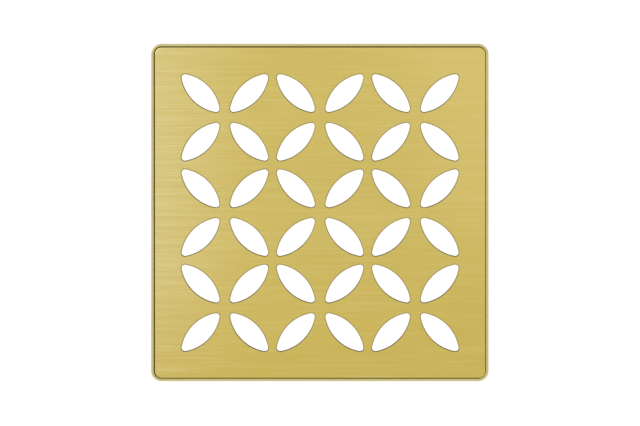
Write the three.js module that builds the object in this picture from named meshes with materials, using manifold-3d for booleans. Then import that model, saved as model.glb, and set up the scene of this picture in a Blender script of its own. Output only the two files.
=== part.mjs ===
// Square shower-drain grate: a pierced plate that lies in an open frame on four levelling feet.
// Millimetres, +Z up. The origin is under the middle of the frame, on the surface that the feet stand on.
import * as THREE from "three";
import { mergeVertices } from "three/addons/utils/BufferGeometryUtils.js";
import Module from "manifold-3d";

const wasm = await Module();
wasm.setup();

// Heights above the floor
const FRAME_TOP = 24;
const FRAME_BOTTOM = 6;
const PLATE_DROP = 0.2; // how far the plate lies below the rim

// Frame: a strip on edge with rounded corners, and a shelf welded inside it
const FRAME_SIDE = 102;
const FRAME_CORNER = 3.1;
const WALL = 0.8;
const LEDGE_WIDTH = 5;
const LEDGE_THICK = 1.2;
const LEDGE_CORNER = 2.6; // clears the inside of the wall's bend
const LEDGE_CLIP = 4.4; // gusset across each inner corner, which carries the boss
const SLOT_LONG = 9;
const SLOT_HIGH = 3;
const SLOT_AT = 24; // each way from the middle of a side
const SLOT_RISE = 5; // slot's middle above the frame's bottom edge

// Pierced plate
const PLATE_GAP = 0.2; // between plate and frame, all round, when the plate is centred
const PLATE_LIES_X = 0.08; // the loose plate has settled a little towards the right and the front
const PLATE_LIES_Y = -0.06;
const PLATE_CORNER = 2;
const PLATE_THICK = 2;
const FLOWER_PITCH = 28.8;
const FLOWERS = 3; // in each row and column
const PETAL_OFFSET = 7.35; // from the flower's centre to a petal's, in X and in Y
const PETAL_LONG = 15.38;
const PETAL_WIDE = 6.2;
const PETAL_FLANK_R = 12.71;
const PETAL_TIP_R = 1.0;

// Rubber cushions on the shelf
const CUSHION_LONG = 64;
const CUSHION_WIDE = 3;
const CUSHION_THICK = 1;

// Spring clips under the plate
const CLIP_WIDE = 7;
const CLIP_THICK = 0.4;
const CLIP_INNER = 38; // where the clip's base starts, from the middle of the plate
const CLIP_BASE_LONG = 5.9;
const CLIP_SPLIT = 0.3; // between base and leaf
const CLIP_CLEAR = 0.25; // between the leaf's knuckle and the shelf
const CLIP_DEPTH = 5.3; // from the plate's underside to the leaf's tip
const STUD_AT = 40.8;
const STUD_R = 1.5;
const STUD_LONG = 3.8;
const CLIP_NUT_FLATS = 5.5;
const CLIP_NUT_THICK = 2.4;

// Levelling feet
const FOOT_AT = 45.8; // each foot's centre, in X and in Y
const SCREW_R = 2;
const SCREW_BOTTOM = 1.3;
const SCREW_TOP = 18;
const SCREW_TIP = 0.5; // chamfer on both ends of the screw
const SOCKET_FLATS = 2;
const SOCKET_DEEP = 2.2;
const BOSS_R = 3.4;
const BOSS_HIGH = 6;
const LOCK_NUT_FLATS = 7;
const LOCK_NUT_THICK = 3.2;
const PAD_R = 3.6;
const PAD_HIGH = 3;
const PAD_EDGE = 0.4; // chamfer on the pad's rim

const FIT = 0.3; // gap round a stud or screw in its hole
const ROUND = 24; // sides on a circle
const CORNER_STEPS = 6; // sides on a quarter circle
const QUARTER = Math.PI / 2;

// Sizes that follow from those above
const PLATE_SIDE = FRAME_SIDE - 2 * (WALL + PLATE_GAP);
const PLATE_BOTTOM = FRAME_TOP - PLATE_DROP - PLATE_THICK;
const LEDGE_TOP = PLATE_BOTTOM - CUSHION_THICK;
const LEDGE_BOTTOM = LEDGE_TOP - LEDGE_THICK;
const LEDGE_OUTER = FRAME_SIDE / 2 - WALL;
const LEDGE_INNER = LEDGE_OUTER - LEDGE_WIDTH;
const BOSS_BOTTOM = LEDGE_BOTTOM - BOSS_HIGH;

const brass = new THREE.MeshStandardMaterial({ color: 0xcdb969, roughness: 0.38, metalness: 1 });
const paleBrass = new THREE.MeshStandardMaterial({ color: 0xcfc38c, roughness: 0.3, metalness: 1 });
const steel = new THREE.MeshStandardMaterial({ color: 0xb9bcc0, roughness: 0.35, metalness: 1 });
const rubber = new THREE.MeshStandardMaterial({ color: 0x26272a, roughness: 0.85, metalness: 0 });
const nylon = new THREE.MeshStandardMaterial({ color: 0x3a3c3f, roughness: 0.6, metalness: 0 });

// --- Shapes -----------------------------------------------------------------------------------------

function extrude(shape, bottom, height) {
  const solid = new THREE.ExtrudeGeometry(shape, { depth: height, bevelEnabled: false, curveSegments: 1 });
  return solid.translate(0, 0, bottom);
}

function roundedSquare(side, radius) {
  const straight = side / 2 - radius;
  const points = [];
  for (let corner = 0; corner < 4; corner++) {
    for (let step = 0; step <= CORNER_STEPS; step++) {
      const along = new THREE.Vector2(radius, 0).rotateAround(new THREE.Vector2(), (QUARTER * step) / CORNER_STEPS);
      points.push(along.addScalar(straight).rotateAround(new THREE.Vector2(), QUARTER * corner));
    }
  }
  return points;
}

function clippedSquare(half, clip) {
  const points = [];
  for (let corner = 0; corner < 4; corner++) {
    for (const point of [new THREE.Vector2(half, half - clip), new THREE.Vector2(half - clip, half)]) {
      points.push(point.rotateAround(new THREE.Vector2(), QUARTER * corner));
    }
  }
  return points;
}

function polygon(sides, radius, x = 0, y = 0) {
  const points = [];
  for (let i = 0; i < sides; i++) {
    const angle = (2 * Math.PI * (i + 0.5)) / sides;
    points.push(new THREE.Vector2(x + radius * Math.cos(angle), y + radius * Math.sin(angle)));
  }
  return points;
}

function hexagon(flats) {
  return polygon(6, flats / 2 / Math.cos(Math.PI / 6));
}

function holed(outline, ...holes) {
  const shape = new THREE.Shape(outline);
  shape.holes = holes.map((hole) => new THREE.Path(hole));
  return shape;
}

function toManifold(geometry) {
  const bare = new THREE.BufferGeometry();
  bare.setAttribute("position", geometry.getAttribute("position"));
  if (geometry.index) bare.setIndex(geometry.index);
  const merged = mergeVertices(bare, 1e-4);
  const vertProperties = merged.getAttribute("position").array;
  return new wasm.Manifold(
    new wasm.Mesh({ numProp: 3, vertProperties, triVerts: new Uint32Array(merged.index.array) }),
  );
}

function cut(geometry, ...cutters) {
  let solid = toManifold(geometry);
  for (const cutter of cutters) solid = solid.subtract(toManifold(cutter));
  const mesh = solid.getMesh();
  const result = new THREE.BufferGeometry();
  result.setAttribute("position", new THREE.BufferAttribute(mesh.vertProperties, 3));
  result.setIndex(new THREE.BufferAttribute(mesh.triVerts, 1));
  return result;
}

// A turned piece about Z. The profile's points are [radius, height], from the lower end to the upper one.
function turned(profile) {
  const points = profile.map(([radius, height]) => new THREE.Vector2(radius, height));
  return new THREE.LatheGeometry(points, ROUND).rotateX(QUARTER);
}

// --- Plate ------------------------------------------------------------------------------------------

// One petal: two shallow flanks that meet in small round tips, pointing along `angle`.
function petal(x, y, angle) {
  const flankDrop = PETAL_FLANK_R - PETAL_WIDE / 2;
  const tipAt = PETAL_LONG / 2 - PETAL_TIP_R;
  const reach = Math.atan2(tipAt, flankDrop);
  const flankSteps = 8;
  const tipSteps = 3;
  const points = [];
  for (const side of [0, Math.PI]) {
    const half = [];
    for (let i = 0; i < flankSteps; i++) {
      const a = QUARTER + reach - (2 * reach * i) / flankSteps;
      half.push([PETAL_FLANK_R * Math.cos(a), PETAL_FLANK_R * Math.sin(a) - flankDrop]);
    }
    for (let i = 0; i < tipSteps; i++) {
      const a = QUARTER - reach - (2 * (QUARTER - reach) * i) / tipSteps;
      half.push([tipAt + PETAL_TIP_R * Math.cos(a), PETAL_TIP_R * Math.sin(a)]);
    }
    for (const [px, py] of half) {
      const point = new THREE.Vector2(px, py).rotateAround(new THREE.Vector2(), side + angle);
      points.push(point.add(new THREE.Vector2(x, y)));
    }
  }
  return points;
}

function petals() {
  const all = [];
  const first = (-(FLOWERS - 1) / 2) * FLOWER_PITCH;
  for (let row = 0; row < FLOWERS; row++) {
    for (let column = 0; column < FLOWERS; column++) {
      for (const [sx, sy] of [[1, 1], [-1, 1], [-1, -1], [1, -1]]) {
        const x = first + column * FLOWER_PITCH + sx * PETAL_OFFSET;
        const y = first + row * FLOWER_PITCH + sy * PETAL_OFFSET;
        all.push(petal(x, y, Math.atan2(sy, sx)));
      }
    }
  }
  return all;
}

function gratePlate() {
  return extrude(holed(roundedSquare(PLATE_SIDE, PLATE_CORNER), ...petals()), PLATE_BOTTOM, PLATE_THICK);
}

// --- Clips, for the side that faces +X ---------------------------------------------------------------

function clipStud() {
  return extrude(holed(polygon(ROUND, STUD_R, STUD_AT)), PLATE_BOTTOM - STUD_LONG, STUD_LONG);
}

function clipBase() {
  const half = CLIP_WIDE / 2;
  const end = CLIP_INNER + CLIP_BASE_LONG;
  const outline = [[CLIP_INNER, -half], [end, -half], [end, half], [CLIP_INNER, half]];
  const shape = holed(outline.map(([x, y]) => new THREE.Vector2(x, y)), polygon(ROUND, STUD_R + FIT, STUD_AT));
  return extrude(shape, PLATE_BOTTOM - CLIP_THICK, CLIP_THICK);
}

function clipNut() {
  const nut = extrude(holed(hexagon(CLIP_NUT_FLATS), polygon(ROUND, STUD_R + FIT)), 0, CLIP_NUT_THICK);
  return nut.translate(STUD_AT, 0, PLATE_BOTTOM - CLIP_THICK - CLIP_NUT_THICK);
}

// The leaf bends down from the base, bulges towards the shelf's edge and turns in again at its tip.
function clipLeaf() {
  const start = CLIP_INNER + CLIP_BASE_LONG + CLIP_SPLIT;
  const knuckle = LEDGE_INNER - CLIP_CLEAR;
  const knuckleDepth = PLATE_BOTTOM - (LEDGE_TOP + LEDGE_BOTTOM) / 2;
  const outer = [[start, 0], [start + CLIP_THICK, 0.1], [knuckle, knuckleDepth], [start, CLIP_DEPTH]];
  const inner = [
    [start - CLIP_THICK, CLIP_DEPTH - 0.1],
    [knuckle - CLIP_THICK, knuckleDepth],
    [start, CLIP_THICK],
  ];
  const profile = [...outer, ...inner].map(([x, depth]) => new THREE.Vector2(x, -depth));
  const leaf = new THREE.ExtrudeGeometry(new THREE.Shape(profile), { depth: CLIP_WIDE, bevelEnabled: false });
  return leaf.translate(0, 0, -CLIP_WIDE / 2).rotateX(QUARTER).translate(0, 0, PLATE_BOTTOM);
}

// --- Frame ------------------------------------------------------------------------------------------

function frameWall() {
  const inside = roundedSquare(FRAME_SIDE - 2 * WALL, FRAME_CORNER - WALL);
  const wall = extrude(holed(roundedSquare(FRAME_SIDE, FRAME_CORNER), inside), FRAME_BOTTOM, FRAME_TOP - FRAME_BOTTOM);
  const through = FRAME_SIDE + 2 * WALL;
  const slots = [];
  for (const at of [-SLOT_AT, SLOT_AT]) {
    const slot = new THREE.BoxGeometry(SLOT_LONG, through, SLOT_HIGH).translate(at, 0, FRAME_BOTTOM + SLOT_RISE);
    slots.push(slot, slot.clone().rotateZ(QUARTER));
  }
  return cut(wall, ...slots);
}

function ledgeRing() {
  const screwHoles = [];
  for (const x of [-FOOT_AT, FOOT_AT]) {
    for (const y of [-FOOT_AT, FOOT_AT]) screwHoles.push(polygon(ROUND, SCREW_R + 2 * FIT, x, y));
  }
  const outer = roundedSquare(2 * LEDGE_OUTER, LEDGE_CORNER);
  const shape = holed(outer, clippedSquare(LEDGE_INNER, LEDGE_CLIP), ...screwHoles);
  return extrude(shape, LEDGE_BOTTOM, LEDGE_THICK);
}

function cushion() {
  const middle = (LEDGE_INNER + LEDGE_OUTER) / 2;
  const strip = new THREE.BoxGeometry(CUSHION_WIDE, CUSHION_LONG, CUSHION_THICK);
  return strip.translate(middle, 0, LEDGE_TOP + CUSHION_THICK / 2);
}

// --- Levelling feet, each about its own Z axis -------------------------------------------------------

function boss() {
  return extrude(holed(polygon(ROUND, BOSS_R), polygon(ROUND, SCREW_R + FIT)), BOSS_BOTTOM, BOSS_HIGH);
}

function lockNut() {
  const shape = holed(hexagon(LOCK_NUT_FLATS), polygon(ROUND, SCREW_R + FIT));
  return extrude(shape, BOSS_BOTTOM - LOCK_NUT_THICK, LOCK_NUT_THICK);
}

function levellingScrew() {
  const body = turned([
    [0, SCREW_BOTTOM],
    [SCREW_R - SCREW_TIP, SCREW_BOTTOM],
    [SCREW_R, SCREW_BOTTOM + SCREW_TIP],
    [SCREW_R, SCREW_TOP - SCREW_TIP],
    [SCREW_R - SCREW_TIP, SCREW_TOP],
    [0, SCREW_TOP],
  ]);
  return cut(body, extrude(holed(hexagon(SOCKET_FLATS)), SCREW_TOP - SOCKET_DEEP, SOCKET_DEEP + 1));
}

function footPad() {
  const socket = SCREW_R + FIT;
  return turned([
    [0, 0],
    [PAD_R - PAD_EDGE, 0],
    [PAD_R, PAD_EDGE],
    [PAD_R, PAD_HIGH - PAD_EDGE],
    [PAD_R - PAD_EDGE, PAD_HIGH],
    [socket, PAD_HIGH],
    [socket, SCREW_BOTTOM - FIT],
    [0, SCREW_BOTTOM - FIT],
  ]);
}

// --- Assembly ---------------------------------------------------------------------------------------

function piece(name, geometry, material) {
  const mesh = new THREE.Mesh(geometry, material);
  mesh.name = name;
  return mesh;
}

// Pieces modelled for the side that faces +X, turned to another side.
function onSide(turn, ...pieces) {
  const group = new THREE.Group();
  group.rotation.z = QUARTER * turn;
  return group.add(...pieces);
}

const frame = new THREE.Group();
frame.add(piece("frame_wall", frameWall(), paleBrass), piece("ledge_ring", ledgeRing(), paleBrass));

const grate = new THREE.Group();
grate.position.set(PLATE_LIES_X, PLATE_LIES_Y, 0);
grate.add(piece("grate_plate", gratePlate(), brass));

["right", "back", "left", "front"].forEach((side, turn) => {
  const clip = [
    piece(`clip_stud_${side}`, clipStud(), steel),
    piece(`clip_base_${side}`, clipBase(), steel),
    piece(`clip_leaf_${side}`, clipLeaf(), steel),
    piece(`clip_nut_${side}`, clipNut(), steel),
  ];
  frame.add(onSide(turn, piece(`cushion_${side}`, cushion(), rubber)));
  grate.add(onSide(turn, ...clip));
});

[["front_left", -1, -1], ["front_right", 1, -1], ["back_right", 1, 1], ["back_left", -1, 1]].forEach(
  ([corner, x, y]) => {
    const group = new THREE.Group();
    group.position.set(x * FOOT_AT, y * FOOT_AT, 0);
    group.add(
      piece(`boss_${corner}`, boss(), paleBrass),
      piece(`lock_nut_${corner}`, lockNut(), steel),
      piece(`levelling_screw_${corner}`, levellingScrew(), steel),
      piece(`foot_pad_${corner}`, footPad(), nylon),
    );
    frame.add(group);
  },
);

export default new THREE.Group().add(frame, grate);
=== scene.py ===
# Square floor drain grate: a pierced, brushed brass plate that lies in a thin frame on four levelling feet.
# All sizes are in metres. The pieces follow each other as the grate is put together, from the frame up.
import math

import bmesh
import bpy
from mathutils import Matrix, Vector
from mathutils.geometry import delaunay_2d_cdt


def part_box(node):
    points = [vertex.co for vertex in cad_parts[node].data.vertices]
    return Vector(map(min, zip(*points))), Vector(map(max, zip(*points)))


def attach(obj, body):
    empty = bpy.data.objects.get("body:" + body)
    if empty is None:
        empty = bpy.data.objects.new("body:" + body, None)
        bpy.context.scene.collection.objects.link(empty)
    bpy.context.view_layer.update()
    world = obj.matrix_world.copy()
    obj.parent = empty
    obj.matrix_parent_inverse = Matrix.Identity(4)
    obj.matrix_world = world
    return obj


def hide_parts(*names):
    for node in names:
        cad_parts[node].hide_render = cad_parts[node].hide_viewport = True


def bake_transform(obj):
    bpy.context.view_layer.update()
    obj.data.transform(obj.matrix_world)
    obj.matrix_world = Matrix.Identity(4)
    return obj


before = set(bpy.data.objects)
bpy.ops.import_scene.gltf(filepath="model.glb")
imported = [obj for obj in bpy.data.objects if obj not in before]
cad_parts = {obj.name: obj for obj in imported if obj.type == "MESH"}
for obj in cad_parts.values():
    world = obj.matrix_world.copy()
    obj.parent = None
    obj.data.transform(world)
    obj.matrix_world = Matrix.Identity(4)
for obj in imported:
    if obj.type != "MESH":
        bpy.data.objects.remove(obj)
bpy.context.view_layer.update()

# --- Frame wall ---------------------------------------------------------------------------------------
# A 0.8 mm strip of stainless steel with a brass-coloured coat, punched with slots that key into the mortar.
# It is bent round four corners, butt-welded in the middle of the back and ground flush, and its cut edges
# are broken so that no burr shows on the rim.
wall_low, wall_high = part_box("frame_wall")
ledge_low, ledge_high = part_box("ledge_ring")
WALL_THICK = wall_high.x - ledge_high.x
WALL_HIGH = wall_high.z - wall_low.z
BEND_RADIUS = 0.0031
BEND_STEPS = 12
STRAIGHT = wall_high.x - wall_low.x - 2 * BEND_RADIUS
BEND_LONG = (BEND_RADIUS - WALL_THICK / 2) * math.pi / 2
QUARTER_LONG = STRAIGHT + BEND_LONG
STRIP_LONG = 4 * QUARTER_LONG
RIM_EDGE = 0.00011
SLOT_LONG = 0.009
SLOT_HIGH = 0.003
SLOT_RISE = 0.005
SLOT_AT = 0.024


class Level:
    """One output in a finish's tree. Arithmetic on it adds Math nodes."""

    def __init__(self, finish, socket):
        self.finish, self.socket = finish, socket

    def math(self, operation, first, second):
        return self.finish.node("ShaderNodeMath", {"operation": operation}, {0: first, 1: second})

    def __add__(self, other):
        return self.math("ADD", self, other)

    def __mul__(self, other):
        return self.math("MULTIPLY", self, other)

    def __sub__(self, other):
        return self.math("SUBTRACT", self, other)

    def __rsub__(self, other):
        return self.math("SUBTRACT", other, self)

    def __pow__(self, other):
        return self.math("POWER", self, other)

    __radd__ = __add__
    __rmul__ = __mul__


class Finish:
    """The node tree of a surface or a sky. node() adds to it, and give() joins it to its shader."""

    def __init__(self, owner, shader="Principled BSDF"):
        owner.use_nodes = True
        self.owner, self.tree = owner, owner.node_tree
        self.shader = self.tree.nodes[shader]

    def fill(self, socket, value):
        if isinstance(value, Level):
            self.tree.links.new(value.socket, socket)
        else:
            socket.default_value = value

    def node(self, kind, settings, sockets, output=0):
        made = self.tree.nodes.new(kind)
        for name, value in settings.items():
            setattr(made, name, value)
        for name, value in sockets.items():
            self.fill(made.inputs[name], value)
        return Level(self, made.outputs[output])

    def give(self, levels):
        for name, value in levels.items():
            self.fill(self.shader.inputs[name], value)
        return self.owner

    def along(self, way, space="Object"):
        """How far a point lies along a direction, from the piece's origin."""
        place = self.node("ShaderNodeTexCoord", {}, {}, space)
        return self.node("ShaderNodeVectorMath", {"operation": "DOT_PRODUCT"}, {0: place, 1: way}, "Value")

    def grain(self, cell, detail=3.0, rough=0.55):
        """Noise from 0 to 1 whose cells have the size `cell` in X, Y and Z."""
        place = self.node("ShaderNodeTexCoord", {}, {}, "Object")
        scaled = self.node("ShaderNodeVectorMath", {"operation": "DIVIDE"}, {0: place, 1: cell})
        return self.node("ShaderNodeTexNoise", {}, {"Vector": scaled, "Scale": 1.0, "Detail": detail,
                                                    "Roughness": rough}, "Fac")

    def spread(self, level, low, high):
        """0 where a level is at low, 1 where it is at high, and smooth between them."""
        return self.node("ShaderNodeMapRange", {"interpolation_type": "SMOOTHSTEP"},
                         {"Value": level, "From Min": low, "From Max": high})

    def tint(self, share, first, second):
        """A colour between two, or from one to another colour socket, by share."""
        return self.node("ShaderNodeMix", {"data_type": "RGBA"}, {0: share, 6: first, 7: second}, 2)

    def relief(self, height, depth):
        """A bump whose height of 1 stands `depth` proud."""
        return self.node("ShaderNodeBump", {}, {"Height": height, "Distance": depth, "Strength": 1.0},
                         "Normal")


def colour(red, green, blue):
    return (red, green, blue, 1.0)


def mitres(outline):
    """For each point of a closed outline, the way out of the sheet, long enough to keep a parallel offset."""
    ways = []
    for i, point in enumerate(outline):
        before = (point - outline[i - 1]).normalized()
        after = (outline[(i + 1) % len(outline)] - point).normalized()
        first, second = Vector((before.y, -before.x)), Vector((after.y, -after.x))
        ways.append((first + second) / (1 + first.dot(second)))
    return ways


def area(outline):
    return sum(a.cross(b) for a, b in zip(outline, outline[1:] + outline[:1])) / 2


def cut_profile(thick, edge, rolls=3):
    """How far a cut edge is drawn in, and at what height, from the top of the sheet down."""
    turns = [math.pi / 2 * k / rolls for k in range(rolls + 1)]
    upper = [(edge * (1 - math.sin(a)), thick - edge * (1 - math.cos(a))) for a in turns]
    return upper + [(inset, thick - height) for inset, height in reversed(upper)]


def cut_sheet(outlines, thick, edge, hole_edge, creases=(), butts=()):
    """Sheet metal from height 0 to thick. The first outline is the blank's, whose cut edge is rounded by
    `edge`. The rest are holes, rounded by `hole_edge`, and their walls take the piece's second finish.
    `creases` are pairs of the blank's points, joined across the sheet so that it can bend there. `butts` are
    such pairs too, for ends that are left square and open, to be welded later."""
    bm = bmesh.new()
    turned = [o if (area(o) > 0) == (i == 0) else o[::-1] for i, o in enumerate(outlines)]
    caps = {0: [], -1: []}
    for number, outline in enumerate(turned):
        ways = mitres(outline)
        profile = cut_profile(thick, hole_edge if number else edge)
        welded = set(butts) if number == 0 else set()
        square = {i for butt in welded for i in butt}
        rows = []
        for inset, height in profile:
            moved = [p - inset * (Vector((0, w.y)) if i in square else w)
                     for i, (p, w) in enumerate(zip(outline, ways))]
            rows.append([bm.verts.new((p.x, p.y, height)) for p in moved])
        for i in range(len(outline)):
            before = (i - 1) % len(outline)
            if (before, i) not in welded:
                for lower, upper in zip(rows[1:], rows):
                    side = bm.faces.new((lower[before], lower[i], upper[i], upper[before]))
                    side.material_index = min(number, 1)
        for level, rings in caps.items():
            rings.append(rows[level])
    for rings in caps.values():
        corners = [v for ring in rings for v in ring]
        starts = [sum(len(r) for r in rings[:i]) for i in range(len(rings))]
        loops = [list(range(start, start + len(ring))) for start, ring in zip(starts, rings)]
        flat = delaunay_2d_cdt([v.co.xy for v in corners], list(creases), loops, 1, 1e-9)
        for face, within in zip(flat[2], flat[5]):
            if len(within) == len(loops):  # a hole's loop runs backwards, and so takes in all but the hole
                bm.faces.new([corners[flat[3][i][0]] for i in face])
    return bm


def slot_outline(x, y, long, high, steps=8):
    """A slot with round ends, lying along X."""
    radius = high / 2
    reach = long / 2 - radius
    points = []
    for side in (1, -1):
        for k in range(steps + 1):
            a = math.pi * (k / steps - 0.5)
            points.append(Vector((x + side * (reach + radius * math.cos(a)),
                                  y + side * radius * math.sin(a))))
    return points


def as_piece(bm, name, *finishes, sharp_over=38):
    """Makes a mesh into a shaded piece in the grate's own frame. Edges bent by more than `sharp_over` degrees
    stay sharp."""
    bmesh.ops.remove_doubles(bm, verts=bm.verts, dist=1e-6)
    bmesh.ops.recalc_face_normals(bm, faces=bm.faces)
    for face in bm.faces:
        face.material_index = min(face.material_index, len(finishes) - 1)
    mesh = bpy.data.meshes.new(name)
    bm.to_mesh(mesh)
    bm.free()
    for finish in finishes:
        mesh.materials.append(finish)
    mesh.shade_smooth()
    mesh.set_sharp_from_angle(angle=math.radians(sharp_over))
    piece = bpy.data.objects.new(name, mesh)
    bpy.context.scene.collection.objects.link(piece)
    normals = piece.modifiers.new("even shading", "WEIGHTED_NORMAL")
    normals.keep_sharp = True
    return piece


def bend_strip(along, up, deep):
    """Where a point of the flat strip lies after bending: along it from the weld, up it, and deep into it."""
    corner, rest = divmod(along + STRAIGHT / 2, QUARTER_LONG)
    outer = wall_high.x - deep
    if rest < STRAIGHT:
        place = Vector((STRAIGHT / 2 - rest, outer))
    else:
        turn = (rest - STRAIGHT) / BEND_LONG * math.pi / 2
        radius = BEND_RADIUS - deep
        place = Vector((-STRAIGHT / 2 - radius * math.sin(turn), STRAIGHT / 2 + radius * math.cos(turn)))
    place.rotate(Matrix.Rotation(corner * math.pi / 2, 2))
    return Vector((place.x, place.y, wall_low.z + up))


def frame_strip():
    bends = [QUARTER_LONG * (q + 0.5) + BEND_LONG * (k / BEND_STEPS - 0.5)
             for q in range(4) for k in range(BEND_STEPS + 1)]
    stops = [0, *bends, STRIP_LONG]
    blank = [Vector((x, 0)) for x in stops] + [Vector((x, WALL_HIGH)) for x in reversed(stops)]
    last = len(blank) - 1
    creases = [(i, last - i) for i in range(1, len(stops) - 1)]
    slots = []
    for side in range(4):
        for at in (-SLOT_AT, SLOT_AT):
            middle = (side * QUARTER_LONG + at) % STRIP_LONG
            slots.append(slot_outline(middle, SLOT_RISE, SLOT_LONG, SLOT_HIGH))
    ends = ((last, 0), (len(stops) - 1, len(stops)))
    bm = cut_sheet([blank, *slots], WALL_THICK, RIM_EDGE, RIM_EDGE, creases, ends)
    for v in bm.verts:
        v.co = bend_strip(v.co.x, v.co.y, v.co.z)
    return bm


def frame_brass():
    """Pale satin brass colour, linished round the frame, with faint handling marks."""
    f = Finish(bpy.data.materials.new("frame_brass"))
    lines = f.grain((0.02, 0.02, 0.00022), 4.0, 0.6)
    cloud = f.grain((0.012, 0.012, 0.012), 2.0)
    speck = f.grain((0.00035, 0.00035, 0.00035), 2.0)
    base = f.tint(cloud, colour(0.68, 0.585, 0.235), colour(0.76, 0.66, 0.28))
    base = f.tint(f.spread(lines, 0.35, 0.75) * 0.35, base, colour(0.74, 0.66, 0.34))
    return f.give({
        "Base Color": base,
        "Metallic": 1.0,
        "Roughness": 0.27 + (lines - 0.5) * 0.14 + (cloud - 0.5) * 0.1,
        "Normal": f.relief(lines + speck * 0.3, 0.000006),
    })


frame_wall = as_piece(frame_strip(), "frame_wall_bent_strip", frame_brass())
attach(frame_wall, "frame")
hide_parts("frame_wall")

# --- Shelf --------------------------------------------------------------------------------------------
# A ring laser-cut from 1.2 mm stainless sheet, with a gusset and a screw hole in each corner. It is tacked
# inside the frame wall from below, by short beads of weld, before the frame gets its brass-coloured coat.
LEDGE_THICK = ledge_high.z - ledge_low.z
LEDGE_WIDE = 0.005
CORNER_SLACK = 0.00005
LEDGE_CORNER = BEND_RADIUS - WALL_THICK + CORNER_SLACK
LEDGE_CLIP = 0.0044
LEDGE_EDGE = 0.00012
DRIVER_HOLE = 0.0026
BEAD_LONG = 0.009
BEAD_RADIUS = 0.0009
BEAD_RIPPLES = 14
BEAD_RIPPLE_RISE = 0.1  # share of the radius
BEAD_END = 0.05  # share of the radius left at the ends
BEAD_INSET = 0.0001
BEAD_AROUND = 10
ROWS_PER_RIPPLE = 4
BEADS_AT = (-0.034, 0.0, 0.034)
CORNERS = {"front_left": (-1, -1), "front_right": (1, -1), "back_right": (1, 1), "back_left": (-1, 1)}
boss_low, boss_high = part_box("boss_back_right")
FOOT_AT = (boss_low.x + boss_high.x) / 2


def clipped_square(half, clip):
    points = []
    for corner in range(4):
        for point in (Vector((half, half - clip)), Vector((half - clip, half))):
            point.rotate(Matrix.Rotation(corner * math.pi / 2, 2))
            points.append(point)
    return points


def rounded_square(half, radius, steps=10):
    points = []
    for corner in range(4):
        for k in range(steps + 1):
            a = math.pi / 2 * k / steps
            point = Vector((half - radius + radius * math.cos(a), half - radius + radius * math.sin(a)))
            point.rotate(Matrix.Rotation(corner * math.pi / 2, 2))
            points.append(point)
    return points


def circle(x, y, radius, steps=40):
    turns = (2 * math.pi * k / steps for k in range(steps))
    return [Vector((x + radius * math.cos(a), y + radius * math.sin(a))) for a in turns]


def shelf_ring():
    outer = rounded_square(ledge_high.x, LEDGE_CORNER)
    inner = clipped_square(ledge_high.x - LEDGE_WIDE, LEDGE_CLIP)
    holes = [circle(x * FOOT_AT, y * FOOT_AT, DRIVER_HOLE) for x, y in CORNERS.values()]
    bm = cut_sheet([outer, inner, *holes], LEDGE_THICK, LEDGE_EDGE, LEDGE_EDGE)
    bm.transform(Matrix.Translation((0, 0, ledge_low.z)))
    return bm


def weld_beads():
    """Beads of weld in the corner between the shelf's underside and the wall, each a row of ripples."""
    bm = bmesh.new()
    around = BEAD_AROUND
    steps = BEAD_RIPPLES * ROWS_PER_RIPPLE
    for side in range(4):
        for at in BEADS_AT:
            rows = []
            for k in range(steps + 1):
                share = k / steps
                swell = math.sqrt(max(0.0, 1 - (2 * share - 1) ** 6))
                ripple = 1 + BEAD_RIPPLE_RISE * abs(math.sin(math.pi * BEAD_RIPPLES * share))
                radius = BEAD_RADIUS * (BEAD_END + (1 - BEAD_END) * swell) * ripple
                row = []
                for j in range(around):
                    a = 2 * math.pi * j / around
                    place = Vector((ledge_high.x - BEAD_INSET + radius * math.cos(a),
                                    at + BEAD_LONG * (share - 0.5),
                                    ledge_low.z + BEAD_INSET + radius * math.sin(a)))
                    place.x = min(place.x, ledge_high.x + WALL_THICK / 2)
                    row.append(place)
                rows.append(row)
            start = len(bm.verts)
            for row in rows:
                for place in row:
                    place.rotate(Matrix.Rotation(side * math.pi / 2, 3, "Z"))
                    bm.verts.new(place)
            bm.verts.ensure_lookup_table()
            for k in range(len(rows) - 1):
                for j in range(around):
                    a = start + k * around + j
                    b = start + k * around + (j + 1) % around
                    bm.faces.new([bm.verts[i] for i in (a, b, b + around, a + around)])
            bm.faces.new([bm.verts[start + j] for j in range(around)])
            bm.faces.new([bm.verts[start + (len(rows) - 1) * around + j] for j in range(around)])
    return bm


def shelf_brass():
    """The wall's coat on dull, pickled sheet: rougher and darker, with a rolling grain along X."""
    f = Finish(bpy.data.materials.new("shelf_brass"))
    rolled = f.grain((0.015, 0.0003, 0.002), 4.0, 0.6)
    cloud = f.grain((0.008, 0.008, 0.008), 3.0)
    base = f.tint(cloud, colour(0.42, 0.31, 0.05), colour(0.52, 0.39, 0.08))
    return f.give({
        "Base Color": f.tint(rolled * 0.4, base, colour(0.56, 0.44, 0.12)),
        "Metallic": 1.0,
        "Roughness": 0.58 + (cloud - 0.5) * 0.2 + (rolled - 0.5) * 0.1,
        "Normal": f.relief(rolled, 0.000008),
    })


def weld_brass():
    """The same coat over weld metal, straw and brown in patches where the heat has dulled it."""
    f = Finish(bpy.data.materials.new("weld_brass"))
    heat = f.spread(f.grain((0.0016, 0.0016, 0.0016), 2.0), 0.4, 0.62)
    return f.give({
        "Base Color": f.tint(heat, colour(0.46, 0.38, 0.14), colour(0.30, 0.23, 0.10)),
        "Metallic": 1.0,
        "Roughness": 0.36 + heat * 0.2,
        "Normal": f.relief(f.grain((0.0002, 0.0002, 0.0002)), 0.00001),
    })


shelf = as_piece(shelf_ring(), "shelf_ring", shelf_brass())
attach(shelf, "frame")
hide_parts("ledge_ring")
beads = as_piece(weld_beads(), "shelf_weld_beads", weld_brass(), sharp_over=180)
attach(beads, "frame")

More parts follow.
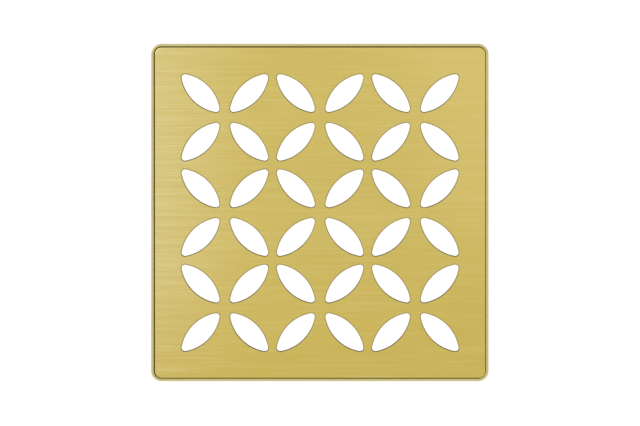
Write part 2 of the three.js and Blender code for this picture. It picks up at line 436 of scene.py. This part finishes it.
# --- Bosses and lock nuts -----------------------------------------------------------------------------
# Four round bosses, turned from bar and tapped for an M4 screw, are welded under the shelf's gussets and
# coated with the frame. A plain stainless hexagon nut runs up against each boss and locks its screw.
BORE = 0.00206
BORE_BREAK = 0.0003
BOSS_BREAK = 0.00035
NUT_FACE = 0.96  # the round face, as a share of the flats
NUT_CHAMFER = 28  # degrees
AROUND = 72
nut_low, nut_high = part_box("lock_nut_back_right")


def ring(radius, height):
    """A ring of points round Z. The radius and the height may each be a number or a function of the angle."""
    points = []
    for k in range(AROUND):
        a = 2 * math.pi * k / AROUND
        r = radius(a) if callable(radius) else radius
        h = height(a) if callable(height) else height
        points.append(Vector((r * math.cos(a), r * math.sin(a), h)))
    return points


def loft(rings, closed=False):
    """Skins a row of rings. An open row gets a cap at each end, and a closed one joins its last ring to its
    first."""
    bm = bmesh.new()
    rows = [[bm.verts.new(p) for p in r] for r in rings]
    pairs = list(zip(rows, rows[1:])) + ([(rows[-1], rows[0])] if closed else [])
    for lower, upper in pairs:
        for i in range(len(lower)):
            bm.faces.new((lower[i - 1], lower[i], upper[i], upper[i - 1]))
    if not closed:
        for row in (rows[0], rows[-1]):
            middle = bm.verts.new(sum((v.co for v in row), Vector()) / len(row))
            for i in range(len(row)):
                bm.faces.new((row[i - 1], row[i], middle))
    return bm


def tapped(outer, low, high, bore, edge):
    """The rings of a turned piece with a hole through it. `outer` is its outer rings, from the top down."""
    inner = [ring(bore, low + edge), ring(bore, high - edge), ring(bore + edge, high)]
    return [*inner, *outer, ring(bore + edge, low)]


def turned_boss():
    low, high = boss_low.z, boss_high.z
    radius = (boss_high.x - boss_low.x) / 2
    outer = [ring(radius - BOSS_BREAK, high), ring(radius, high - BOSS_BREAK), ring(radius, low + BOSS_BREAK),
             ring(radius - BOSS_BREAK, low)]
    return loft(tapped(outer, low, high, BORE, BORE_BREAK), closed=True)


def hexagon_nut(flats, low, high, bore, edge):
    """A nut with its corners chamfered on both faces."""
    face = flats / 2 * NUT_FACE
    slope = math.tan(math.radians(NUT_CHAMFER))

    def side(a):
        return flats / 2 / math.cos((a + math.pi / 6) % (math.pi / 3) - math.pi / 6)

    outer = [ring(face, high), ring(side, lambda a: high - (side(a) - face) * slope),
             ring(side, lambda a: low + (side(a) - face) * slope), ring(face, low)]
    return loft(tapped(outer, low, high, bore, edge), closed=True)


def turned_brass():
    """The frame's coat on turned bar, with tool marks round it."""
    f = Finish(bpy.data.materials.new("turned_brass"))
    marks = f.grain((0.004, 0.004, 0.00014), 2.0)
    cloud = f.grain((0.003, 0.003, 0.003), 3.0)
    return f.give({
        "Base Color": f.tint(cloud, colour(0.48, 0.40, 0.14), colour(0.60, 0.51, 0.21)),
        "Metallic": 1.0,
        "Roughness": 0.28 + marks * 0.16 + (cloud - 0.5) * 0.12,
        "Normal": f.relief(marks, 0.000008),
    })


def turned_steel():
    """Stainless bar and fasteners: fine tool marks round the piece, and grime in a few patches."""
    f = Finish(bpy.data.materials.new("turned_steel"))
    marks = f.grain((0.004, 0.004, 0.00012), 2.0)
    cloud = f.grain((0.0025, 0.0025, 0.0025), 3.0)
    base = f.tint(cloud, colour(0.50, 0.50, 0.49), colour(0.66, 0.66, 0.655))
    return f.give({
        "Base Color": f.tint(f.spread(cloud, 0.62, 0.8) * 0.5, base, colour(0.34, 0.32, 0.29)),
        "Metallic": 1.0,
        "Roughness": 0.24 + marks * 0.16 + (cloud - 0.5) * 0.12,
        "Normal": f.relief(marks, 0.000006),
    })


boss_brass = turned_brass()
fastener_steel = turned_steel()
for corner, (x, y) in CORNERS.items():
    boss = as_piece(turned_boss(), f"turned_boss_{corner}", boss_brass)
    nut_flats = nut_high.x - nut_low.x
    nut = as_piece(hexagon_nut(nut_flats, nut_low.z, nut_high.z, BORE, BORE_BREAK),
                   f"hexagon_lock_nut_{corner}", fastener_steel)
    for part, node, slot in ((boss, f"boss_{corner}", "brass_frame"),
                             (nut, f"lock_nut_{corner}", "stainless")):
        part.location = (x * FOOT_AT, y * FOOT_AT, 0)
        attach(part, "frame")
        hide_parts(node)

# --- Levelling screws ---------------------------------------------------------------------------------
# M4 socket set screws with a rolled thread, chamfered at both ends. A 2 mm hexagon key turns each from above
# once the plate is out, and its plain tip sits in the foot.
screw_low, screw_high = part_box("levelling_screw_back_right")
THREAD_PITCH = 0.0007
THREAD_CREST = 0.00198
THREAD_ROOT = 0.00160
THREAD_ROWS = 9  # in each turn
FLANK_GAIN = 1.3  # flattens the crests and roots
FLANK_SHIFT = 0.15
SCREW_CHAMFER = 0.0005
SOCKET_FLATS = 0.002
SOCKET_DEEP = 0.0022
SOCKET_BREAK = 0.0001
SOCKET_POINT = 0.0004
POINT_RADIUS = 0.0001


def threaded(low, high, crest, root, pitch, chamfer):
    """The rings of a right-handed thread, cut back to a chamfer at each end."""
    rings = []
    rows = round((high - low) / pitch * THREAD_ROWS)
    for k in range(rows + 1):
        height = low + (high - low) * k / rows
        limit = crest - max(0.0, chamfer - (height - low), chamfer - (high - height))

        def radius(a):
            phase = (height / pitch - a / (2 * math.pi)) % 1.0
            ridge = min(1.0, max(0.0, abs(2 * phase - 1) * FLANK_GAIN - FLANK_SHIFT))
            return min(limit, root + (crest - root) * ridge)

        rings.append(ring(radius, height))
    return rings


def set_screw():
    low, high = screw_low.z, screw_high.z

    def socket(a):
        return SOCKET_FLATS / 2 / math.cos((a + math.pi / 6) % (math.pi / 3) - math.pi / 6)

    rings = threaded(low, high, THREAD_CREST, THREAD_ROOT, THREAD_PITCH, SCREW_CHAMFER)
    rings.append(ring(lambda a: socket(a) + SOCKET_BREAK, high))
    rings.append(ring(socket, high - SOCKET_BREAK))
    rings.append(ring(socket, high - SOCKET_DEEP))
    rings.append(ring(POINT_RADIUS, high - SOCKET_DEEP - SOCKET_POINT))
    return loft(rings)


for corner, (x, y) in CORNERS.items():
    screw = as_piece(set_screw(), f"socket_set_screw_{corner}", fastener_steel)
    screw.location = (x * FOOT_AT, y * FOOT_AT, 0)
    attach(screw, f"screw_{corner}")
    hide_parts(f"levelling_screw_{corner}")

# --- Feet ---------------------------------------------------------------------------------------------
# Moulded nylon pads, pushed on the tips of the screws. The rim is fluted for the fingers, and the underside
# has a ring round a shallow recess, so that it stands firmly on rough screed.
pad_low, pad_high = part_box("foot_pad_back_right")
PAD_RADIUS = (pad_high.x - pad_low.x) / 2
PAD_HIGH = pad_high.z - pad_low.z
PAD_EDGE = 0.0004
PAD_BORE = 0.0023
PAD_BORE_FLOOR = 0.001
PAD_FLUTES = 18
FLUTE_DEEP = 0.00016
RECESS_DEEP = 0.0003
RECESS_MIDDLE = 0.0006
RECESS_FLOOR = 0.0018
RECESS_RIM = 0.0021
BORE_LEAD = 0.0002
BORE_MIDDLE = 0.0004


def moulded_foot():
    def rim(radius):
        return lambda a: radius - FLUTE_DEEP * (0.5 - 0.5 * math.cos(PAD_FLUTES * a)) ** 2

    return loft([
        ring(RECESS_MIDDLE, RECESS_DEEP), ring(RECESS_FLOOR, RECESS_DEEP), ring(RECESS_RIM, 0.0),
        ring(rim(PAD_RADIUS - PAD_EDGE), 0.0), ring(rim(PAD_RADIUS - PAD_EDGE * 0.3), PAD_EDGE * 0.3),
        ring(rim(PAD_RADIUS), PAD_EDGE), ring(rim(PAD_RADIUS), PAD_HIGH - PAD_EDGE),
        ring(PAD_RADIUS - PAD_EDGE * 0.4, PAD_HIGH - PAD_EDGE * 0.3),
        ring(PAD_RADIUS - PAD_EDGE * 1.2, PAD_HIGH),
        ring(PAD_BORE + BORE_LEAD, PAD_HIGH), ring(PAD_BORE, PAD_HIGH - BORE_LEAD),
        ring(PAD_BORE, PAD_BORE_FLOOR), ring(BORE_MIDDLE, PAD_BORE_FLOOR),
    ])


def foot_nylon():
    """Dark grey moulded nylon, with a fine spark texture and dusty patches."""
    f = Finish(bpy.data.materials.new("foot_nylon"))
    spark = f.grain((0.00016, 0.00016, 0.00016), 3.0, 0.65)
    dust = f.spread(f.grain((0.0016, 0.0016, 0.0016), 3.0), 0.5, 0.75)
    return f.give({
        "Base Color": f.tint(dust * 0.5, colour(0.032, 0.034, 0.037), colour(0.085, 0.084, 0.08)),
        "Roughness": 0.46 + spark * 0.2 + dust * 0.12,
        "Normal": f.relief(spark, 0.00002),
    })


pad_nylon = foot_nylon()
for corner, (x, y) in CORNERS.items():
    foot = as_piece(moulded_foot(), f"moulded_foot_{corner}", pad_nylon)
    foot.location = (x * FOOT_AT, y * FOOT_AT, 0)
    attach(foot, f"foot_{corner}")
    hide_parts(f"foot_pad_{corner}")

# --- Cushions -----------------------------------------------------------------------------------------
# Strips of extruded rubber, stuck along the shelf. Two ribs on top carry the plate, so that it doesn't
# rattle.
SIDES = ("right", "back", "left", "front")
cushion_low, cushion_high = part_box("cushion_right")
CUSHION_RIBS = 2
CUSHION_FLAT = 0.6  # share of the height up to the flat between the ribs
CUSHION_STEPS = 32
CUSHION_ENDS = ((0.0, 0.90), (0.00012, 0.97), (0.0004, 1.0))  # how far from an end, share of the section


def cushion_strip():
    """One strip for the side that faces +X, as a section swept along Y, with its ends cut a little round."""
    wide = cushion_high.x - cushion_low.x
    thick = cushion_high.z - cushion_low.z
    top = []
    for k in range(CUSHION_STEPS + 1):
        share = k / CUSHION_STEPS
        rib = math.sin(math.pi * CUSHION_RIBS * share) ** 2
        top.append((wide * share, thick * (CUSHION_FLAT + (1 - CUSHION_FLAT) * rib)))
    section = [(wide, 0.0), (0.0, 0.0), *top]
    long = cushion_high.y - cushion_low.y
    places = [*CUSHION_ENDS, *((long - at, size) for at, size in reversed(CUSHION_ENDS))]
    rings = []
    for at, size in places:
        rings.append([Vector((cushion_low.x + wide / 2 + (x - wide / 2) * size, cushion_low.y + at,
                              cushion_low.z + z * size)) for x, z in section])
    return loft(rings)


def cushion_rubber():
    """Soft black rubber with extrusion lines, bloomed grey in places."""
    f = Finish(bpy.data.materials.new("cushion_rubber"))
    bloom = f.spread(f.grain((0.004, 0.004, 0.004), 4.0), 0.45, 0.75)
    pores = f.grain((0.0002, 0.0002, 0.0002), 2.0)
    return f.give({
        "Base Color": f.tint(bloom * 0.6, colour(0.014, 0.014, 0.015), colour(0.045, 0.045, 0.046)),
        "Roughness": 0.68 + bloom * 0.2,
        "Normal": f.relief(pores, 0.000015),
    })


strip_rubber = cushion_rubber()
for turn, side in enumerate(SIDES):
    bm = cushion_strip()
    bm.transform(Matrix.Rotation(turn * math.pi / 2, 4, "Z"))
    cushion = as_piece(bm, f"rubber_strip_{side}", strip_rubber)
    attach(cushion, "frame")
    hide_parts(f"cushion_{side}")

# --- Plate --------------------------------------------------------------------------------------------
# 2 mm stainless plate with a brass-coloured coat, laser-cut with petals in flowers of four, three flowers
# each way, and brushed along X before it was coated. The openings' edges are broken by the brushing.
plate_low, plate_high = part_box("grate_plate")
plate_middle = (plate_low + plate_high) / 2
PLATE_THICK = plate_high.z - plate_low.z
PLATE_CORNER = 0.002
PLATE_EDGE = 0.00018
PETAL_EDGE = 0.0003
FLOWERS = 3
FLOWER_PITCH = 0.0288
PETAL_OFFSET = 0.00735
PETAL_LONG = 0.01538
PETAL_WIDE = 0.0062
FLANK_RADIUS = 0.01271
TIP_RADIUS = 0.001


def petal(x, y, angle, flank_steps=22, tip_steps=8):
    """Two shallow arcs, joined by a small round tip at each end. Its length lies along `angle`."""
    drop = FLANK_RADIUS - PETAL_WIDE / 2
    tip_at = PETAL_LONG / 2 - TIP_RADIUS
    reach = math.atan2(tip_at, drop)
    points = []
    for side in (0, math.pi):
        half = []
        for k in range(flank_steps):
            a = math.pi / 2 + reach - 2 * reach * k / flank_steps
            half.append(Vector((FLANK_RADIUS * math.cos(a), FLANK_RADIUS * math.sin(a) - drop)))
        for k in range(tip_steps):
            a = (math.pi / 2 - reach) * (1 - 2 * k / tip_steps)
            half.append(Vector((tip_at + TIP_RADIUS * math.cos(a), TIP_RADIUS * math.sin(a))))
        for point in half:
            point.rotate(Matrix.Rotation(side + angle, 2))
            points.append(point + Vector((x, y)))
    return points


def pierced_plate():
    first = -(FLOWERS - 1) / 2 * FLOWER_PITCH
    petals = []
    for row in range(FLOWERS):
        for column in range(FLOWERS):
            for x, y in CORNERS.values():
                petals.append(petal(first + column * FLOWER_PITCH + x * PETAL_OFFSET,
                                    first + row * FLOWER_PITCH + y * PETAL_OFFSET, math.atan2(y, x)))
    half = (plate_high.x - plate_low.x) / 2
    bm = cut_sheet([rounded_square(half, PLATE_CORNER), *petals], PLATE_THICK, PLATE_EDGE, PETAL_EDGE)
    bm.transform(Matrix.Translation((plate_middle.x, plate_middle.y, plate_low.z)))
    return bm


def plate_brass():
    """Brass colour over straight brushing, with fine lines all over. Painted light makes it paler towards -X,
    where the lines are also painted stronger, and lighter towards the right back corner. Painted shade
    darkens it towards the front."""
    f = Finish(bpy.data.materials.new("plate_brass"))
    hair = f.grain((0.012, 0.00013, 0.012), 3.0, 0.6)
    lines = f.grain((0.030, 0.00045, 0.030), 2.0, 0.6)
    cloud = f.grain((0.02, 0.02, 0.02), 2.0)
    right, back = f.along((1, 0, 0)), f.along((0, 1, 0))
    # Painted light: a mask that grows towards -X, where the colour is made paler.
    painted_light_left = f.spread(right, -0.014, -0.062)
    base = f.tint(cloud, colour(0.74, 0.575, 0.142), colour(0.79, 0.615, 0.165))
    # Painted light: lighter towards the right back corner.
    base = f.tint(f.spread(right + back * 0.5, 0.02, 0.07) * 0.7, base, colour(0.85, 0.67, 0.20))
    base = f.tint(painted_light_left, base, colour(0.85, 0.695, 0.275))
    # Painted shade: darker towards the front (-Y), and a little towards +X.
    base = f.tint(f.spread(back - right * 0.2, 0.0, -0.05) * 0.8, base, colour(0.735, 0.555, 0.118))
    # The brushing lines are painted stronger where the painted light is, towards -X.
    painted_light_line_strength = 0.35 + painted_light_left * 0.65
    base = f.tint(f.spread(lines, 0.45, 0.70) * painted_light_line_strength * 0.45, base, colour(0.95, 0.82, 0.40))
    base = f.tint(f.spread(lines, 0.50, 0.25) * painted_light_line_strength * 0.33, base, colour(0.66, 0.51, 0.14))
    base = f.tint(f.spread(hair, 0.55, 0.25) * painted_light_line_strength * 0.3, base, colour(0.60, 0.46, 0.11))
    return f.give({
        "Base Color": base,
        "Metallic": 1.0,
        "Roughness": 0.34 + (lines - 0.5) * 0.16 + (hair - 0.5) * 0.1,
        "Normal": f.relief(hair * 0.5 + lines, 0.000012),
    })


def cut_brass():
    """The same coat on edges left as the laser cut them: coarse and striped from face to face. Painted shade
    darkens the sides that face +Y nearly to black."""
    f = Finish(bpy.data.materials.new("cut_brass"))
    stripes = f.grain((0.00012, 0.00012, 0.0015), 3.0, 0.6)
    # Painted shade: sides whose normals face +Y are mixed towards near black.
    painted_shade_facing_back = f.spread(f.along((0, 1, 0), "Normal"), 0.05, 0.6)
    base = f.tint(stripes, colour(0.42, 0.33, 0.11), colour(0.66, 0.53, 0.20))
    return f.give({
        "Base Color": f.tint(painted_shade_facing_back * 0.9, base, colour(0.03, 0.025, 0.012)),
        "Metallic": 1.0,
        "Roughness": 0.5 + stripes * 0.2,
        "Normal": f.relief(stripes, 0.00002),
    })


plate = as_piece(pierced_plate(), "pierced_plate", plate_brass(), cut_brass())
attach(plate, "grate")
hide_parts("grate_plate")

# --- Clips, studs and nuts ----------------------------------------------------------------------------
# Four M3 studs are welded under the plate. Each holds one clip of stainless spring strip under a nut. The
# clip's leaf bends down, bulges towards the shelf's inner edge and turns in again to lead the plate home.
stud_low, stud_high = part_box("clip_stud_right")
base_low, base_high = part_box("clip_base_right")
leaf_low, leaf_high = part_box("clip_leaf_right")
clip_nut_low, clip_nut_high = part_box("clip_nut_right")
STUD_PITCH = 0.0005
STUD_CREST = 0.00148
STUD_ROOT = 0.00118
STUD_CHAMFER = 0.0003
CLIP_THICK = base_high.z - base_low.z
CLIP_WIDE = base_high.y - base_low.y
CLIP_EDGE = 0.0001
CLIP_END_RADIUS = 0.0012
CLIP_BEND = 0.0005
BEND_POINTS = 8
KNUCKLE_DROP = 0.0016
KNUCKLE_REACH = 0.0004
TIP_RISE = 0.0001
LINE_STEP = 0.0003
NUT_SLACK = 0.00005
NUT_BREAK = 0.0002


def clip_line():
    """The middle line of the strip, from the free end under the plate, round its bend and down to the leaf's
    tip, as points on a smooth curve through a few bends."""
    x = base_low.x
    top = base_high.z - CLIP_THICK / 2
    knuckle = Vector((leaf_high.x - CLIP_THICK / 2, 0, leaf_high.z - KNUCKLE_DROP))
    tip = Vector((leaf_low.x + CLIP_THICK / 2, 0, leaf_low.z + TIP_RISE))
    bend = Vector((knuckle.x - KNUCKLE_REACH, 0, top))
    stations = [Vector((x, 0, top)), bend, knuckle, tip]
    line = [stations[0]]
    for before, at, after in zip(stations, stations[1:], stations[2:]):
        into, out = (before - at).normalized(), (after - at).normalized()
        for k in range(BEND_POINTS + 1):
            t = k / BEND_POINTS
            line.append(at + into * CLIP_BEND * (1 - t) ** 2 + out * CLIP_BEND * t ** 2)
    line.append(tip)
    fine = []
    for start, end in zip(line, line[1:]):
        pieces = max(1, round((end - start).length / LINE_STEP))
        fine += [start.lerp(end, k / pieces) for k in range(pieces)]
    return fine + [tip]


def spring_clip():
    """The strip as a section with broken edges, carried along its middle line. Its flat end is rounded."""
    line = clip_line()
    rings = []
    gone = 0.0
    for i, place in enumerate(line):
        if i:
            gone += (place - line[i - 1]).length
        ahead = (line[min(i + 1, len(line) - 1)] - line[max(i - 1, 0)]).normalized()
        up = Vector((-ahead.z, 0, ahead.x))
        short = max(0.0, 1 - gone / CLIP_END_RADIUS)
        half = CLIP_WIDE / 2 - CLIP_END_RADIUS * (1 - math.sqrt(1 - short ** 2))
        deep = CLIP_THICK / 2
        section = [(half - CLIP_EDGE, deep), (half, deep - CLIP_EDGE), (half, CLIP_EDGE - deep),
                   (half - CLIP_EDGE, -deep), (CLIP_EDGE - half, -deep), (-half, CLIP_EDGE - deep),
                   (-half, deep - CLIP_EDGE), (CLIP_EDGE - half, deep)]
        rings.append([place + Vector((0, y, 0)) + up * z for y, z in section])
    return loft(rings)


def spring_steel():
    """Cold-rolled spring strip: bright, faintly straw-coloured, with fine rolling lines."""
    f = Finish(bpy.data.materials.new("spring_steel"))
    rolled = f.grain((0.006, 0.006, 0.0002), 3.0)
    cloud = f.grain((0.003, 0.003, 0.003), 2.0)
    base = f.tint(cloud, colour(0.56, 0.54, 0.50), colour(0.68, 0.67, 0.64))
    return f.give({
        "Base Color": base,
        "Metallic": 1.0,
        "Roughness": 0.2 + rolled * 0.16 + (cloud - 0.5) * 0.1,
        "Normal": f.relief(rolled, 0.000004),
    })


def weld_stud():
    low, high = stud_low.z, stud_high.z
    return loft(threaded(low, high, STUD_CREST, STUD_ROOT, STUD_PITCH, STUD_CHAMFER))


clip_steel = spring_steel()
STUD_AT = (stud_low.x + stud_high.x) / 2 - plate_middle.x
to_plate = Matrix.Translation((plate_middle.x, plate_middle.y, 0))
for turn, side in enumerate(SIDES):
    to_side = to_plate @ Matrix.Rotation(turn * math.pi / 2, 4, "Z")
    from_right = to_side @ to_plate.inverted()
    bm = spring_clip()
    bm.transform(from_right)
    clip = as_piece(bm, f"spring_clip_{side}", clip_steel)
    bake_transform(clip)
    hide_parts(f"clip_base_{side}", f"clip_leaf_{side}")
    stud = as_piece(weld_stud(), f"weld_stud_{side}", fastener_steel)
    flats = clip_nut_high.x - clip_nut_low.x
    nut = as_piece(hexagon_nut(flats, clip_nut_low.z, clip_nut_high.z, STUD_CREST + NUT_SLACK, NUT_BREAK),
                   f"hexagon_clip_nut_{side}", fastener_steel)
    for part, node in ((stud, f"clip_stud_{side}"), (nut, f"clip_nut_{side}")):
        part.matrix_world = to_side @ Matrix.Translation((STUD_AT, 0, 0))
        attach(part, "grate")
        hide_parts(node)

# --- Floor, light and camera --------------------------------------------------------------------------
# A pale, softly lit table, under a tent that is bright overhead and towards the front, and dim at the back.
# The table is a little lower than the feet, so that they can be screwed right out, and its far edges sweep
# up. The camera looks straight down from well above, so that the sides of the openings hardly show.
FLOOR_HALF = 3.5
FLOOR_LOW = -0.0026
FLOOR_SWEEP = 0.35
FRAME_SHARE = 0.5273  # of the picture's width
SENSOR = 0.036
CAMERA_HIGH = 1.8
CAMERA_RIGHT = 0.00005
CAMERA_FRONT = -0.00016


def pale_floor():
    """Milk glass with light behind it, brightest under the grate."""
    f = Finish(bpy.data.materials.new("pale_floor"))
    cloud = f.grain((0.4, 0.4, 0.4), 2.0)
    near = 1 - f.spread(f.along((1, 0, 0)) ** 2 + f.along((0, 1, 0)) ** 2, 0.012, 0.3)
    return f.give({
        "Base Color": f.tint(cloud, colour(0.16, 0.16, 0.16), colour(0.18, 0.18, 0.18)),
        "Roughness": 0.9,
        "Specular IOR Level": 0.0,
        "Emission Color": f.tint(near, colour(0.82, 0.82, 0.83), colour(1.0, 1.0, 1.0)),
        "Emission Strength": 0.97,
    })


def studio_tent():
    f = Finish(bpy.data.worlds.new("studio_tent"), "Background")
    front = f.along((0.3, -0.95, 0), "Generated")
    high = f.spread(f.along((0, 0, 1), "Generated"), 0.15, 0.9)
    return f.give({
        "Color": colour(0.97, 0.985, 1.0),
        "Strength": (0.46 + front * 0.42) * (1 - high) + high * 0.82,
    })


bm = bmesh.new()
bmesh.ops.create_grid(bm, x_segments=8, y_segments=8, size=FLOOR_HALF)
for v in bm.verts:
    v.co.z = FLOOR_SWEEP if v.is_boundary else FLOOR_LOW
floor = as_piece(bm, "floor", pale_floor())
bpy.context.scene.world = studio_tent()


def soft_light(name, place, target, size, power, tone):
    lamp = bpy.data.lights.new(name, "AREA")
    lamp.shape = "RECTANGLE"
    lamp.size, lamp.size_y = size
    lamp.energy = power
    lamp.color = tone
    light = bpy.data.objects.new(name, lamp)
    light.location = place
    light.rotation_euler = (Vector(target) - Vector(place)).to_track_quat("-Z", "Y").to_euler()
    bpy.context.scene.collection.objects.link(light)


soft_light("left_softbox", (-0.45, 0.30, 0.40), (0.0, 0.0, 0.02), (0.5, 0.8), 1.1, (0.95, 0.98, 1.0))
bpy.context.scene.view_settings.view_transform = "Standard"

lens = bpy.data.cameras.new("camera")
lens.sensor_width = SENSOR * 1000
lens.lens = SENSOR * 1000 * (CAMERA_HIGH - wall_high.z) * FRAME_SHARE / (wall_high.x - wall_low.x)
camera = bpy.data.objects.new("camera", lens)
camera.location = (CAMERA_RIGHT, CAMERA_FRONT, CAMERA_HIGH)
bpy.context.scene.collection.objects.link(camera)
bpy.context.scene.camera = camera
